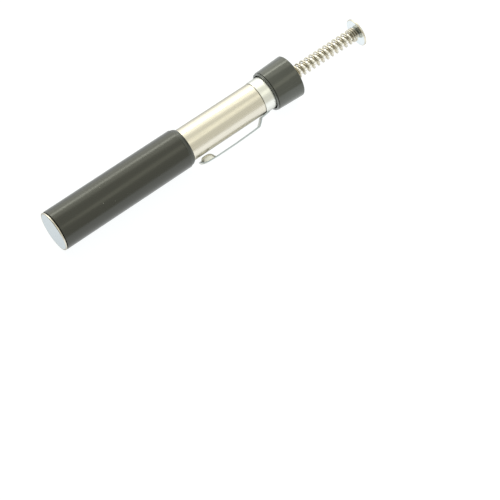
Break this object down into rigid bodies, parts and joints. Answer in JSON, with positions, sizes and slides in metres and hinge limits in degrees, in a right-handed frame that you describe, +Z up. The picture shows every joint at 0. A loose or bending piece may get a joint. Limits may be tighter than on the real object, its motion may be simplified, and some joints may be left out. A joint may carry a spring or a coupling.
{
  "type": "magnetic black sand separator pen",
  "caption": "Pen-shaped magnetic separator for gold panning: a sprung plunger carries a magnet to the tip of a gripped metal barrel with a pocket clip.",
  "frame": {"origin": "under the middle of the pen's box, on the surface that it lies on", "axes": "+X along the pen from its tip to its button, +Z up, the clip pointing to -Y and a little down"},
  "size_m": [0.1662, 0.0218, 0.0202],
  "materials": {
    "grip": "smooth moulded, soft gloss",
    "cap": "polished",
    "plating": "bright nickel plate, fine lengthwise polish lines",
    "clip_plating": "bright plate",
    "bright_steel": "mirror polish",
    "spring_wire": "plated wire",
    "rubber": "matt",
    "nylon": "moulded",
    "brass": "turned",
    "magnet": "nickel plated",
    "zinc": "zinc plated"
  },
  "bodies": {
    "barrel": {"tip_disc": "bright_steel", "outer_sleeve": "grip", "sleeve_collar": "grip", "barrel_tube": "plating", "end_cap": "cap", "guide_bush": "brass", "top_plug": "nylon", "bumper_washer": "rubber", "return_spring": "spring_wire", "clip_band": "clip_plating"},
    "plunger": {"plunger_rod": "plating", "button": "bright_steel", "stop_ring": "brass", "magnet_cup": "nylon", "magnet_disc_1": "magnet", "magnet_disc_2": "magnet", "magnet_disc_3": "magnet", "lock_washer": "zinc", "lock_nut": "zinc"},
    "clip": {"clip_arm": "clip_plating"}
  },
  "joints": [
    {"name": "plunger_press", "type": "slide", "parent": "barrel", "child": "plunger", "axis": [-1, 0, 0], "range_m": [0, 0.02], "stiffness_N_per_m": 150, "springref_m": -0.02, "deforming": ["return_spring"]},
    {"name": "clip_flex", "type": "hinge", "parent": "barrel", "child": "clip", "pos_m": [0.02305, -0.00673, 0.00636], "axis": [0, -0.4462, 0.8949], "range_deg": [0, 5], "stiffness_Nm_per_rad": 0.5, "springref_deg": -2.86}
  ]
}
